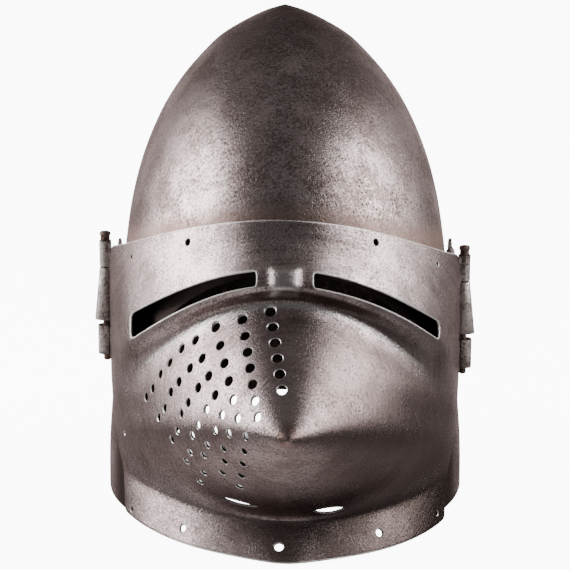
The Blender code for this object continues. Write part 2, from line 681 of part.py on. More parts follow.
def main():
    clear_scene()
    steel = make_material("dark_steel", (0.19, 0.17, 0.16), 0.38)
    hinge_steel = make_material("hinge_steel", (0.17, 0.13, 0.11), 0.48)
    frame = bpy.data.objects.new("helmet_frame", None)
    bpy.context.collection.objects.link(frame)
    frame.location = (0.0, FRAME_BACK, 0.0)
    build_skull(steel, frame)
    build_visor(steel, frame)
    for side, name in SIDES:
        build_arm(side, name, hinge_steel, frame)
        build_pin(side, name, hinge_steel, frame)
        build_pivot(side, name, hinge_steel, frame)


main()
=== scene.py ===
# %% [markdown]
# # A hounskull bascinet
#
# This is a late medieval war helmet: a tall pointed skull of hammered steel, and a visor
# drawn out to a snout, with two sights, breath holes on one cheek and a turned-out flange.
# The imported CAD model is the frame. Every piece here is a finer sheet of the same steel,
# built from the same sizes, so that it lies where the frame's solids lie.

import math

import bmesh
import bpy
from mathutils import Matrix, Vector


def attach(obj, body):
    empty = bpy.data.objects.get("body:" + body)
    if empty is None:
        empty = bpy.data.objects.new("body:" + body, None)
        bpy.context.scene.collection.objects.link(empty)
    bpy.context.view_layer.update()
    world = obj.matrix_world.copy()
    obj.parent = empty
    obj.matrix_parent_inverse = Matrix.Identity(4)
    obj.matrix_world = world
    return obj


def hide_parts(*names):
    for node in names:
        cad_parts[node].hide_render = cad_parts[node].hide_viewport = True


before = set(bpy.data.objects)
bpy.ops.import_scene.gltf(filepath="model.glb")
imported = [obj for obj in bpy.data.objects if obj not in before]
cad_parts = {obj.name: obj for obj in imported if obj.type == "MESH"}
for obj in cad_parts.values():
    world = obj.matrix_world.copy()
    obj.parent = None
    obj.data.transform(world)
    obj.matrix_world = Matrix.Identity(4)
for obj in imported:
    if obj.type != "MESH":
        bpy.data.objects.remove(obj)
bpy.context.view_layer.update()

# %% [markdown]
# ## Shared helpers
#
# Every piece follows the same three steps: a bmesh shape, modifiers that give it a wall
# and its holes, and a last step that turns the result into a plain mesh, so that sharp
# edges can be marked by angle. The helmet was measured from the middle of its brow, so one
# shift along Y brings each piece into the frame.

# %% The helmet's place in the frame
SNOUT_REACH = 0.215
SKULL_BACK = 0.1335
HELMET_SHIFT = Vector((0.0, (SNOUT_REACH - SKULL_BACK) / 2.0, 0.0))
SIDES = [(1.0, "left"), (-1.0, "right")]
print("helmet shift:", tuple(round(value, 5) for value in HELMET_SHIFT))


# %% Helpers for sheets and cutters
def mix(low, high, share):
    return low + (high - low) * share


def smooth_step(low, high, value):
    share = min(1.0, max(0.0, (value - low) / (high - low)))
    return share * share * (3.0 - 2.0 * share)


def through_rows(rows, position, column):
    """A smooth curve through one column of a table, read between its rows."""
    number = min(len(rows) - 2, max(0, int(position)))
    share = position - number
    here, after = rows[number][column], rows[number + 1][column]
    before = rows[max(0, number - 1)][column]
    later = rows[min(len(rows) - 1, number + 2)][column]
    start, end = 0.5 * (after - before), 0.5 * (later - here)
    square, cube = share * share, share * share * share
    return (here * (2.0 * cube - 3.0 * square + 1.0) + after * (3.0 * square - 2.0 * cube)
            + start * (cube - 2.0 * square + share) + end * (cube - square))


def new_object(name, data):
    thing = bpy.data.objects.new(name, data)
    bpy.context.collection.objects.link(thing)
    return thing


def new_mesh(name, builder, materials=()):
    mesh = bpy.data.meshes.new(name)
    builder.to_mesh(mesh)
    builder.free()
    for material in materials:
        mesh.materials.append(material)
    return mesh


def new_piece(name, builder, materials):
    """An object from a bmesh that was measured on the helmet, moved into the frame."""
    bmesh.ops.translate(builder, verts=builder.verts, vec=HELMET_SHIFT)
    return new_object(name, new_mesh(name, builder, materials))


def turn_to(axis):
    """The turn that brings the Z axis onto another axis."""
    return Vector((0.0, 0.0, 1.0)).rotation_difference(Vector(axis)).to_matrix().to_4x4()


def extrude(builder, faces):
    """Extrude faces and hand back the new verts, ready to be moved."""
    made = bmesh.ops.extrude_face_region(builder, geom=faces)
    return [item for item in made["geom"] if isinstance(item, bmesh.types.BMVert)]


def spun(profile, sides):
    """A closed body of revolution round Z from radii and distances along the axis."""
    builder = bmesh.new()
    corners = [builder.verts.new((radius, 0.0, along)) for radius, along in profile]
    edges = [builder.edges.new(pair) for pair in zip(corners, corners[1:])]
    bmesh.ops.spin(builder, geom=corners + edges, cent=(0.0, 0.0, 0.0), axis=(0.0, 0.0, 1.0),
                   angle=2.0 * math.pi, steps=sides, use_merge=True)
    bmesh.ops.remove_doubles(builder, verts=builder.verts, dist=0.00001)
    bmesh.ops.recalc_face_normals(builder, faces=builder.faces)
    return builder


def combine(piece, operation, builder, *materials):
    """Join a shape onto a piece, or cut it out; its faces bring their own finishes."""
    other = new_piece(piece.name + "_" + operation.lower(), builder, materials)
    boolean = piece.modifiers.new(operation.lower(), "BOOLEAN")
    boolean.object = other
    boolean.operation = operation
    boolean.solver = "EXACT"
    boolean.material_mode = "TRANSFER"
    return other


def give_wall(piece, thickness):
    """A wall inwards of the sheet, with the second finish on its rim and the third inside."""
    wall = piece.modifiers.new("wall", "SOLIDIFY")
    wall.thickness = thickness
    wall.offset = -1.0
    wall.use_even_offset = True
    wall.material_offset = 2
    wall.material_offset_rim = 1


def rub_edges(piece, width):
    """A narrow bevel in the second finish, where hands have rubbed the edges bright."""
    bevel = piece.modifiers.new("rubbed_edges", "BEVEL")
    bevel.width = width
    bevel.segments = 2
    bevel.limit_method = "ANGLE"
    bevel.angle_limit = math.radians(50.0)
    bevel.material = 1


def finish_piece(piece, body, node, sharp_degrees, helpers=()):
    """Turn the modifiers into a plain mesh, mark sharp edges, and hand the piece to the frame."""
    bpy.context.view_layer.update()
    graph = bpy.context.evaluated_depsgraph_get()
    mesh = bpy.data.meshes.new_from_object(piece.evaluated_get(graph), depsgraph=graph)
    piece.modifiers.clear()
    piece.data = mesh
    for helper in helpers:
        bpy.data.objects.remove(helper, do_unlink=True)
    mesh.shade_smooth()
    mesh.set_sharp_from_angle(angle=math.radians(sharp_degrees))
    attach(piece, body)
    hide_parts(node)
    low = [round(min(vert.co[axis] for vert in mesh.vertices), 4) for axis in range(3)]
    high = [round(max(vert.co[axis] for vert in mesh.vertices), 4) for axis in range(3)]
    print(piece.name, "faces", len(mesh.polygons), "box", low, high)


# %% [markdown]
# ## Old steel
#
# The plates were hammered, polished, rusted and cleaned again over centuries. Four effects
# make that look, and several finishes share them, so each is a node group with named
# inputs and outputs: a cloudy patina, dark pits in patches, fine polishing lines, and
# brown rust. All of them read Object coordinates in metres, so a scale of 900 gives marks
# of about a millimetre.

# %% Helpers for node groups
def start_group(name, output, **inputs):
    """A group that takes a vector and some named numbers, and gives one number."""
    group = bpy.data.node_groups.new(name, "ShaderNodeTree")
    group.interface.new_socket("Vector", in_out="INPUT", socket_type="NodeSocketVector")
    for socket_name, value in inputs.items():
        socket = group.interface.new_socket(socket_name.replace("_", " "), in_out="INPUT",
                                            socket_type="NodeSocketFloat")
        socket.default_value = value
    group.interface.new_socket(output, in_out="OUTPUT", socket_type="NodeSocketFloat")
    given = group.nodes.new("NodeGroupInput").outputs
    result = group.nodes.new("NodeGroupOutput").inputs[output]
    return group, given, result


def put(tree, socket, value):
    """Give an input a fixed value, or link it to another node's output."""
    if isinstance(value, bpy.types.NodeSocket):
        tree.links.new(value, socket)
    else:
        socket.default_value = value


def add_noise(tree, vector, scale, detail, roughness):
    noise = tree.nodes.new("ShaderNodeTexNoise")
    for socket_name, value in (("Vector", vector), ("Scale", scale), ("Detail", detail),
                               ("Roughness", roughness)):
        put(tree, noise.inputs[socket_name], value)
    return noise.outputs["Fac"]


def add_range(tree, value, low, high, to_low=0.0, to_high=1.0):
    """Spread a stretch of values over another stretch, softly at both ends."""
    node = tree.nodes.new("ShaderNodeMapRange")
    node.interpolation_type = "SMOOTHSTEP"
    tree.links.new(value, node.inputs["Value"])
    for socket_name, number in (("From Min", low), ("From Max", high),
                                ("To Min", to_low), ("To Max", to_high)):
        node.inputs[socket_name].default_value = number
    return node.outputs["Result"]


def add_math(tree, operation, first, second):
    node = tree.nodes.new("ShaderNodeMath")
    node.operation = operation
    put(tree, node.inputs[0], first)
    put(tree, node.inputs[1], second)
    return node.outputs["Value"]


def product(tree, first, *others):
    for other in others:
        first = add_math(tree, "MULTIPLY", first, other)
    return first


def total(tree, first, *others):
    for other in others:
        first = add_math(tree, "ADD", first, other)
    return first


def add_blend(tree, factor, first, second):
    """Two colours blended by a factor; each may be a colour or an output."""
    node = tree.nodes.new("ShaderNodeMix")
    node.data_type = "RGBA"
    put(tree, node.inputs["Factor"], factor)
    for socket, value in ((node.inputs[6], first), (node.inputs[7], second)):
        put(tree, socket, (*value, 1.0) if isinstance(value, tuple) else value)
    return node.outputs[2]


# %% The patina group
def build_patina():
    group, given, tone = start_group("patina", "Tone", Cloud_Scale=22.0, Grain_Scale=420.0,
                                     Grain_Amount=0.5)
    cloud = add_noise(group, given["Vector"], given["Cloud Scale"], 5.0, 0.62)
    grain = add_noise(group, given["Vector"], given["Grain Scale"], 6.0, 0.78)
    weight = group.nodes.new("ShaderNodeMix")
    group.links.new(given["Grain Amount"], weight.inputs["Factor"])
    group.links.new(add_range(group, cloud, 0.30, 0.70), weight.inputs[2])
    group.links.new(add_range(group, grain, 0.34, 0.66), weight.inputs[3])
    group.links.new(add_range(group, weight.outputs[0], 0.18, 0.82), tone)
    return group


patina = build_patina()
print("group:", patina.name, [socket.name for socket in patina.interface.items_tree])


# %% The pitting group
def build_pitting():
    group, given, mask = start_group("pitting", "Mask", Pit_Scale=620.0, Patch_Scale=26.0, Amount=1.0)
    cells = group.nodes.new("ShaderNodeTexVoronoi")
    group.links.new(given["Vector"], cells.inputs["Vector"])
    group.links.new(given["Pit Scale"], cells.inputs["Scale"])
    fray = add_noise(group, given["Vector"], product(group, given["Pit Scale"], 2.4), 2.0, 0.55)
    patches = add_noise(group, given["Vector"], given["Patch Scale"], 3.0, 0.6)
    frayed = total(group, cells.outputs["Distance"], fray)
    pits = product(group, add_range(group, frayed, 0.60, 0.88, 1.0, 0.0),
                   add_range(group, patches, 0.36, 0.60), given["Amount"])
    group.links.new(pits, mask)
    return group


pitting = build_pitting()
print("group:", pitting.name)


# %% The polishing-line group
def build_polish():
    group, given, lines = start_group("polishing_lines", "Lines", Line_Scale=1.0)
    fine = add_noise(group, given["Vector"], given["Line Scale"], 4.0, 0.65)
    group.links.new(add_range(group, fine, 0.35, 0.65), lines)
    return group


polish = build_polish()
print("group:", polish.name)


# %% The rust group
def build_rust():
    group, given, mask = start_group("rust", "Mask", Bloom_Scale=130.0, Cover=0.5)
    bloom = add_noise(group, given["Vector"], given["Bloom Scale"], 6.0, 0.7)
    lifted = total(group, bloom, total(group, given["Cover"], -0.5))
    group.links.new(add_range(group, lifted, 0.46, 0.62), mask)
    return group


rust = build_rust()
print("group:", rust.name)


# %% [markdown]
# ## The finishes
#
# Bare steel is a metal: it has no colour of its own beyond the tint of what it mirrors, so
# Metallic stays at 1 and the Base Color is that tint. Pits and rust are dull, so they
# lower the colour and raise the roughness. Skull and visor are polished in different
# directions, so each gets its own material, and the cut edges are bright where hands and
# cleaning rags have rubbed them.

# %% Helpers for materials
METALLIC = 1.0
GRAZING_TINT = (0.70, 0.60, 0.58, 1.0)
PIT_ROUGHNESS = 0.25
WAVE_HEIGHT, PIT_DEPTH, GRAIN_HEIGHT = 0.7, -0.30, 0.6
BUMP_STRENGTH, BUMP_DISTANCE = 0.45, 0.0008


def start_material(name):
    material = bpy.data.materials.new(name)
    material.use_nodes = True
    tree = material.node_tree
    shader = tree.nodes["Principled BSDF"]
    shader.inputs["Metallic"].default_value = METALLIC
    shader.inputs["Specular Tint"].default_value = GRAZING_TINT
    place = tree.nodes.new("ShaderNodeTexCoord").outputs["Object"]
    return material, tree, shader, place


def use_group(tree, group, vector, **values):
    node = tree.nodes.new("ShaderNodeGroup")
    node.node_tree = group
    tree.links.new(vector, node.inputs["Vector"])
    for socket_name, value in values.items():
        node.inputs[socket_name.replace("_", " ")].default_value = value
    return node.outputs[0]


def add_parts(tree, vector):
    parts = tree.nodes.new("ShaderNodeSeparateXYZ")
    tree.links.new(vector, parts.inputs["Vector"])
    return parts.outputs["X"], parts.outputs["Y"], parts.outputs["Z"]


def add_layers(tree, colour, layers):
    """Lay colours over one another, each with its own mask."""
    for mask, tint in layers:
        colour = add_blend(tree, mask, colour, tint)
    return colour


def add_bump(tree, shader, height, strength, distance):
    bump = tree.nodes.new("ShaderNodeBump")
    bump.inputs["Strength"].default_value = strength
    bump.inputs["Distance"].default_value = distance
    tree.links.new(height, bump.inputs["Height"])
    tree.links.new(bump.outputs["Normal"], shader.inputs["Normal"])


def add_hammered_relief(tree, shader, place, pits, lines, wave_scale, grain_scale, line_height):
    """Shallow hammer waves, pits, fine grain and polishing lines, as one bump."""
    waves = add_noise(tree, place, wave_scale, 2.0, 0.5)
    grain = add_noise(tree, place, grain_scale, 4.0, 0.7)
    height = total(tree, product(tree, waves, WAVE_HEIGHT), product(tree, pits, PIT_DEPTH),
                   product(tree, grain, GRAIN_HEIGHT), product(tree, lines, line_height))
    add_bump(tree, shader, height, BUMP_STRENGTH, BUMP_DISTANCE)


def stretch(tree, vector, scale):
    """Squeeze a pattern more along one axis than another, which draws it out into lines."""
    mapping = tree.nodes.new("ShaderNodeMapping")
    mapping.inputs["Scale"].default_value = scale
    tree.links.new(vector, mapping.inputs["Vector"])
    return mapping.outputs["Vector"]


# %% [markdown]
# ## Where the marks lie
#
# Some marks have a place: a film of rust on the skull along the visor's top edge, painted
# shade on the skull behind the visor, painted shade in the furrow under the sights, and
# painted highlights on the ridge below it and on the boss. Each mask is a product of soft
# steps along X, Y or Z.
# The visor's edges sag towards the sides, so the height is first straightened: adding a
# share of X squared turns a sagging line into a level one.

# %% Skull steel
LIGHT_STEEL = (0.62, 0.51, 0.505)
DARK_STEEL = (0.188, 0.138, 0.131)
# Painted shade behind the visor and in the furrow, and also the dark stain on the flange.
SHADE_AND_STAIN_STEEL = (0.085, 0.064, 0.058)
# Painted highlight on the crease ridge and the boss.
PAINTED_HIGHLIGHT_STEEL = (0.92, 0.87, 0.84)
PIT_BROWN = (0.060, 0.042, 0.038)
RUST_BROWN = (0.22, 0.125, 0.090)
RUST_FILM = (0.40, 0.27, 0.225)
VISOR_EDGE_SAG = 3.5


def build_skull_steel():
    material, tree, shader, place = start_material("skull_steel")
    tone = use_group(tree, patina, place, Cloud_Scale=34.0, Grain_Scale=560.0, Grain_Amount=0.55)
    pits = use_group(tree, pitting, place, Pit_Scale=430.0, Patch_Scale=60.0, Amount=0.90)
    lines = use_group(tree, polish, stretch(tree, place, (900.0, 900.0, 60.0)), Line_Scale=1.0)
    bloom = use_group(tree, rust, place, Bloom_Scale=90.0, Cover=0.66)
    x, y, z = add_parts(tree, place)
    level = total(tree, z, product(tree, x, x, VISOR_EDGE_SAG))
    along_edge = product(tree, add_range(tree, level, 0.209, 0.223, 1.0, 0.0),
                         add_range(tree, level, 0.170, 0.190),
                         add_range(tree, y, 0.020, 0.060, 1.0, 0.0))
    tint_layer = product(tree, along_edge, total(tree, product(tree, bloom, 0.3), 0.5))
    # Painted shade on the skull behind the visor.
    shade_behind_visor = product(tree, add_range(tree, level, 0.190, 0.202, 1.0, 0.0),
                      add_range(tree, y, 0.005, 0.030, 1.0, 0.0))
    steel = add_blend(tree, tone, DARK_STEEL, LIGHT_STEEL)
    colour = add_layers(tree, steel, [(pits, PIT_BROWN), (product(tree, tint_layer, 0.85), RUST_FILM),
                                      (product(tree, shade_behind_visor, 0.97), SHADE_AND_STAIN_STEEL)])
    rough = total(tree, add_range(tree, tone, 0.0, 1.0, 0.38, 0.28),
                  product(tree, pits, PIT_ROUGHNESS), product(tree, tint_layer, 0.15))
    tree.links.new(colour, shader.inputs["Base Color"])
    tree.links.new(rough, shader.inputs["Roughness"])
    add_hammered_relief(tree, shader, place, pits, lines, 26.0, 800.0, 0.04)
    return material


skull_steel = build_skull_steel()
print("finish:", skull_steel.name, "nodes", len(skull_steel.node_tree.nodes))

# %% Visor steel
SNOUT_TIP = Vector((0.002, -0.17425, 0.1007))
CREASE_LEVEL = 0.1618
CREASE_TILT = 0.026
CREASE_SAG = 7.1
LIP_SAG_SHARE = 0.82
LINES_PER_METRE = 900.0
LINE_LENGTH_SCALE = 2.6


def add_vector_math(tree, operation, *vectors):
    node = tree.nodes.new("ShaderNodeVectorMath")
    node.operation = operation
    for socket, vector in zip(node.inputs, vectors):
        put(tree, socket, vector)
    return node.outputs["Value" if operation in ("LENGTH", "DISTANCE") else "Vector"]


def around_snout(tree, place):
    """Distance from the snout's axis and direction round it, for lines polished in circles."""
    centred = add_vector_math(tree, "SUBTRACT", place, SNOUT_TIP)
    flat = add_vector_math(tree, "MULTIPLY", centred, (1.0, 0.0, 1.0))
    radius = add_vector_math(tree, "LENGTH", flat)
    across, _, up = add_parts(tree, add_vector_math(tree, "NORMALIZE", flat))
    joined = tree.nodes.new("ShaderNodeCombineXYZ")
    tree.links.new(product(tree, radius, LINES_PER_METRE), joined.inputs["X"])
    tree.links.new(product(tree, across, LINE_LENGTH_SCALE), joined.inputs["Y"])
    tree.links.new(product(tree, up, LINE_LENGTH_SCALE), joined.inputs["Z"])
    return joined.outputs["Vector"], radius


def build_visor_steel():
    material, tree, shader, place = start_material("visor_steel")
    tone = use_group(tree, patina, place, Cloud_Scale=42.0, Grain_Scale=700.0, Grain_Amount=0.56)
    pits = use_group(tree, pitting, place, Pit_Scale=500.0, Patch_Scale=80.0, Amount=0.80)
    circles, radius = around_snout(tree, place)
    lines = use_group(tree, polish, circles, Line_Scale=1.0)
    bloom = use_group(tree, rust, place, Bloom_Scale=90.0, Cover=0.36)
    x, _, z = add_parts(tree, place)
    side = add_math(tree, "ABSOLUTE", x, 0.0)
    fall = total(tree, product(tree, x, CREASE_TILT), product(tree, x, x, CREASE_SAG))
    level = total(tree, z, fall)
    lip_level = total(tree, z, product(tree, fall, LIP_SAG_SHARE))
    tip = product(tree, add_range(tree, radius, 0.004, 0.011, 1.0, 0.0), tone)
    rusted = add_math(tree, "MAXIMUM", product(tree, bloom, 0.45), tip)
    # Painted shade in the furrow under the sights.
    furrow_shade = product(tree, add_range(tree, level, 0.1630, 0.1650),
                     add_range(tree, lip_level, 0.1700, 0.1740, 0.75, 0.0),
                     add_range(tree, x, -0.045, -0.015, 0.15, 1.0),
                     add_range(tree, x, 0.060, 0.092, 1.0, 0.10))
    # A painted highlight along the ridge at the crease.
    from_crease = add_math(tree, "ABSOLUTE", total(tree, level, -CREASE_LEVEL), 0.0)
    ridge_highlight = product(tree, add_range(tree, from_crease, 0.0005, 0.0026, 0.95, 0.0),
                    add_range(tree, tone, 0.1, 0.7, 0.45, 1.0),
                    add_range(tree, side, 0.078, 0.094, 1.0, 0.0))
    # A painted highlight on the boss between the sights.
    boss_highlight = product(tree, add_range(tree, side, 0.006, 0.010, 0.5, 0.0),
                   add_range(tree, z, 0.165, 0.170), add_range(tree, z, 0.183, 0.188, 1.0, 0.0))
    # Darker steel below the crease, most of all towards +X.
    tint_layer = product(tree, add_range(tree, level, 0.150, 0.163, 0.32, 0.0),
                   add_range(tree, x, 0.0, 0.040, 1.0, 2.3))
    stain = product(tree, add_range(tree, z, 0.022, 0.034, 0.97, 0.0),
                    add_range(tree, x, 0.002, 0.024), add_range(tree, tone, 0.2, 0.9, 1.0, 0.78))
    steel = add_blend(tree, tone, DARK_STEEL, LIGHT_STEEL)
    colour = add_layers(tree, steel, [
        (product(tree, lines, 0.42), LIGHT_STEEL), (pits, PIT_BROWN), (rusted, RUST_BROWN),
        (furrow_shade, SHADE_AND_STAIN_STEEL), (ridge_highlight, PAINTED_HIGHLIGHT_STEEL), (boss_highlight, PAINTED_HIGHLIGHT_STEEL),
        (tint_layer, DARK_STEEL), (stain, SHADE_AND_STAIN_STEEL)])
    rough = total(tree, add_range(tree, tone, 0.0, 1.0, 0.35, 0.25), product(tree, pits, PIT_ROUGHNESS))
    tree.links.new(colour, shader.inputs["Base Color"])
    tree.links.new(rough, shader.inputs["Roughness"])
    add_hammered_relief(tree, shader, place, pits, lines, 34.0, 1000.0, 0.14)
    return material


visor_steel = build_visor_steel()
print("finish:", visor_steel.name, "nodes", len(visor_steel.node_tree.nodes))

# %% Worn edges, inner walls and hinge steel
PLAIN_FINISHES = [
    # name, dark tint, light tint, rust cover, lowest and highest roughness, cloud scale, bump
    ("worn_edge", (0.62, 0.57, 0.55), (0.95, 0.92, 0.90), 0.24, 0.42, 0.55, 60.0, 0.0001),
    ("inner_steel", (0.028, 0.022, 0.020), (0.075, 0.058, 0.052), 0.42, 0.60, 0.78, 40.0, 0.0006),
    ("hinge_steel", (0.20, 0.16, 0.15), (0.62, 0.55, 0.53), 0.26, 0.34, 0.52, 90.0, 0.0005),
    ("pin_steel", (0.075, 0.052, 0.045), (0.22, 0.165, 0.145), 0.48, 0.45, 0.65, 120.0, 0.0006),
]


def build_plain_steel(name, dark, light, rust_cover, smooth, rough, cloud, depth):
    material, tree, shader, place = start_material(name)
    tone = use_group(tree, patina, place, Cloud_Scale=cloud, Grain_Scale=700.0, Grain_Amount=0.5)
    bloom = use_group(tree, rust, place, Bloom_Scale=160.0, Cover=rust_cover)
    colour = add_layers(tree, add_blend(tree, tone, dark, light), [(bloom, RUST_BROWN)])
    tree.links.new(colour, shader.inputs["Base Color"])
    tree.links.new(add_range(tree, tone, 0.0, 1.0, rough, smooth), shader.inputs["Roughness"])
    add_bump(tree, shader, tone, 0.5, depth)
    return material


worn_edge, inner_steel, hinge_steel, pin_steel = [build_plain_steel(*row) for row in PLAIN_FINISHES]
print("finishes:", worn_edge.name, inner_steel.name, hinge_steel.name, pin_steel.name)

# %% [markdown]
# ## The skull
#
# The skull was raised from one plate: an oval rim, upright sides, and a point set back
# over the head. Half a UV sphere has just that layout, rings round an axis and one pole,
# so each of its rings is moved to a row of a table of widths and reaches.

# %% Sizes of the skull
SKULL_HEIGHT = 0.317
SKULL_HALF_WIDTH = 0.118
SKULL_FRONT = 0.1255
SKULL_WALL = 0.0018
APEX_SET_BACK = 0.045
RIM_TRIM = 0.008
FACE_HALF_WIDTH = 0.0896
FACE_ARCH_SPRING = 0.085
FACE_ARCH_RISE = 0.0915
NAPE_HALF_WIDTH = 0.078
NAPE_RISE = 0.030
PIVOT_BACK = 0.022
PIVOT_HEIGHT = 0.153
PIVOT_RADIUS = 0.0026
CLEARANCE = 0.0003
LACE_HOLE_RADIUS = 0.0013
LACE_HOLE_HEIGHT = 0.0055
LACE_HOLE_DEGREES = (72.0, 79.0)
BELOW_THE_RIM = -0.02
ARCH_STEPS = 48
PIVOT_DRILL_OUT, PIVOT_DRILL_LENGTH = 0.105, 0.03
SKULL_RINGS = [
    # height, width, front, back, widest
    (1.000, 0.000, -0.359, 0.337, 1.00),
    (0.986, 0.112, -0.195, 0.470, 1.00),
    (0.965, 0.228, -0.010, 0.580, 0.99),
    (0.936, 0.357, 0.200, 0.683, 0.96),
    (0.902, 0.455, 0.375, 0.760, 0.92),
    (0.855, 0.566, 0.578, 0.842, 0.86),
    (0.800, 0.665, 0.755, 0.905, 0.76),
    (0.738, 0.746, 0.890, 0.950, 0.65),
    (0.675, 0.806, 0.978, 0.978, 0.54),
    (0.610, 0.848, 1.000, 0.993, 0.42),
    (0.540, 0.876, 0.994, 1.000, 0.32),
    (0.470, 0.898, 0.983, 0.990, 0.32),
    (0.380, 0.923, 0.968, 0.972, 0.36),
    (0.280, 0.952, 0.952, 0.957, 0.40),
    (0.170, 0.980, 0.930, 0.950, 0.44),
    (0.080, 0.997, 0.910, 0.960, 0.46),
    (-RIM_TRIM / SKULL_HEIGHT, 1.000, 0.895, 0.972, 0.46),
]
print("skull: rings", len(SKULL_RINGS), "height", SKULL_HEIGHT)


# %% Shape the skull
def skull_point(angle, ring):
    """A point of the outer skin: angle from the front towards +X, ring position in the table."""
    height, width, front, back, widest = (through_rows(SKULL_RINGS, ring, column) for column in range(5))
    middle = widest * APEX_SET_BACK
    ahead = math.cos(angle) > 0.0
    reach = middle + front * SKULL_FRONT if ahead else back * SKULL_BACK - middle
    return Vector((width * SKULL_HALF_WIDTH * math.sin(angle), middle - reach * math.cos(angle),
                   height * SKULL_HEIGHT))


def shape_skull():
    builder = bmesh.new()
    bmesh.ops.create_uvsphere(builder, u_segments=120, v_segments=128, radius=1.0)
    below = [vert for vert in builder.verts if vert.co.z < -0.001]
    bmesh.ops.delete(builder, geom=below, context="VERTS")
    for vert in builder.verts:
        from_pole = math.acos(min(1.0, max(-1.0, vert.co.z))) / (math.pi / 2.0)
        angle = math.atan2(vert.co.x, -vert.co.y)
        vert.co = skull_point(angle, from_pole * (len(SKULL_RINGS) - 1))
    return builder


skull = new_piece("skull_shell", shape_skull(), [skull_steel, worn_edge, inner_steel])
give_wall(skull, SKULL_WALL)
print("skull faces before its openings:", len(skull.data.polygons))


# %% Cut the skull's openings
def extruded(outline, direction, length):
    """A closed prism from a flat outline."""
    builder = bmesh.new()
    face = builder.faces.new([builder.verts.new(point) for point in outline])
    bmesh.ops.translate(builder, verts=extrude(builder, [face]), vec=Vector(direction) * length)
    bmesh.ops.recalc_face_normals(builder, faces=builder.faces)
    return builder


def arch(half_width, back, spring, rise):
    """The outline of an arched opening, from below the rim up to its crown and down again."""
    outline = [(-half_width, back, BELOW_THE_RIM)]
    for step in range(ARCH_STEPS + 1):
        turn = math.pi * step / ARCH_STEPS
        outline.append((-half_width * math.cos(turn), back, spring + rise * math.sin(turn)))
    return outline + [(half_width, back, BELOW_THE_RIM)]


def add_rod(builder, centre, axis, radius, length, sides):
    bmesh.ops.create_cone(builder, cap_ends=True, segments=sides, radius1=radius, radius2=radius,
                          depth=length, matrix=Matrix.Translation(centre) @ turn_to(axis))


floor_cut = bmesh.new()
bmesh.ops.create_cube(floor_cut, size=1.0, matrix=Matrix.Translation((0.0, 0.0, -0.5)))
drills = bmesh.new()
for side, _ in SIDES:
    add_rod(drills, (side * PIVOT_DRILL_OUT, PIVOT_BACK, PIVOT_HEIGHT), (1.0, 0.0, 0.0),
            PIVOT_RADIUS + CLEARANCE, PIVOT_DRILL_LENGTH, 24)
    for degrees in LACE_HOLE_DEGREES:
        turn = side * math.radians(degrees)
        place = skull_point(turn, len(SKULL_RINGS) - 2)
        place.z = LACE_HOLE_HEIGHT
        add_rod(drills, place, (math.sin(turn), -math.cos(turn), 0.0), LACE_HOLE_RADIUS, 0.02, 16)
face_arch = extruded(arch(FACE_HALF_WIDTH, 0.0, FACE_ARCH_SPRING, FACE_ARCH_RISE), (0.0, -1.0, 0.0), 0.2)
nape_arch = extruded(arch(NAPE_HALF_WIDTH, APEX_SET_BACK, 0.0, NAPE_RISE), (0.0, 1.0, 0.0), 0.2)
skull_cutters = [combine(skull, "DIFFERENCE", cutter, worn_edge)
                 for cutter in (floor_cut, face_arch, nape_arch, drills)]
finish_piece(skull, "helmet", "skull", 32.0, skull_cutters)

# %% [markdown]
# ## The visor
#
# The visor is one thin sheet: an upright brow band, two sights between raised lips, the
# snout, and a flange turned out below a crease. A grid is bent to the sheet's formula, the
# faces of the two sights are taken out, and a subdivision surface rounds the folds the way
# a hammer does. Solidify gives the wall and a narrow bevel the rubbed edges. One row of
# the grid, the crease under the sights, stands out as a bead that catches the light.

# %% Sizes of the visor
VISOR_HEIGHT = 0.211
VISOR_HALF_WIDTH = SKULL_HALF_WIDTH - 0.0034
VISOR_DEPTH = SKULL_FRONT + 0.0115
VISOR_WALL = 0.0016
VISOR_LEAN = 0.026
SNOUT_TIP_HEIGHT = 0.1007
SNOUT_TIP_SIDE = 0.002
SNOUT_WIDTH_SHARE = 0.97
SNOUT_TIP_POWER = 1.85
SNOUT_FOOT_POWER = 3.4
SNOUT_SOFTNESS = 0.05
LIP_STAND = 0.010
SIGHT_INNER_SHARE = 0.15
SIGHT_OUTER_SHARE = 0.84
BOSS_SHARE = 0.082
BOSS_STAND = 0.0035
LEFT_SIGHT_LIFT = 0.0046
REAR_EDGE_LOW = 0.055
FLANGE_KEEL = 0.0055
FLANGE_KEEL_SHARE = 0.22
CREASE_BEAD = 0.0012
VISOR_EDGE_BEVEL = 0.0010
VISOR_ROWS = [
    # centre height, side height, depth, pinch, stand, rear edge
    (1.000, 0.783, 0.952, 1.57, 0.00, 0.21),
    (0.945, 0.715, 0.975, 1.40, 0.04, 0.08),
    (0.898, 0.620, 0.998, 1.27, 0.34, 0.07),
    (0.874, 0.550, 1.010, 1.22, 0.72, 0.07),
    (0.833, 0.466, 1.022, 1.18, 0.95, 0.07),
    (0.812, 0.438, 1.027, 1.17, 0.75, 0.07),
    (0.787, 0.385, 1.026, 1.15, 0.10, 0.18),
    (0.770, 0.335, 1.022, 1.13, 0.00, 0.36),
    (0.107, 0.135, 0.940, 0.99, 0.00, 1.00),
    (0.014, 0.016, 1.060, 1.00, 0.00, 1.18),
]
UPPER_LIP, LOWER_LIP, CREASE, FLANGE_CREASE = 3, 4, 7, 8
print("visor: rows", len(VISOR_ROWS), "height", VISOR_HEIGHT)


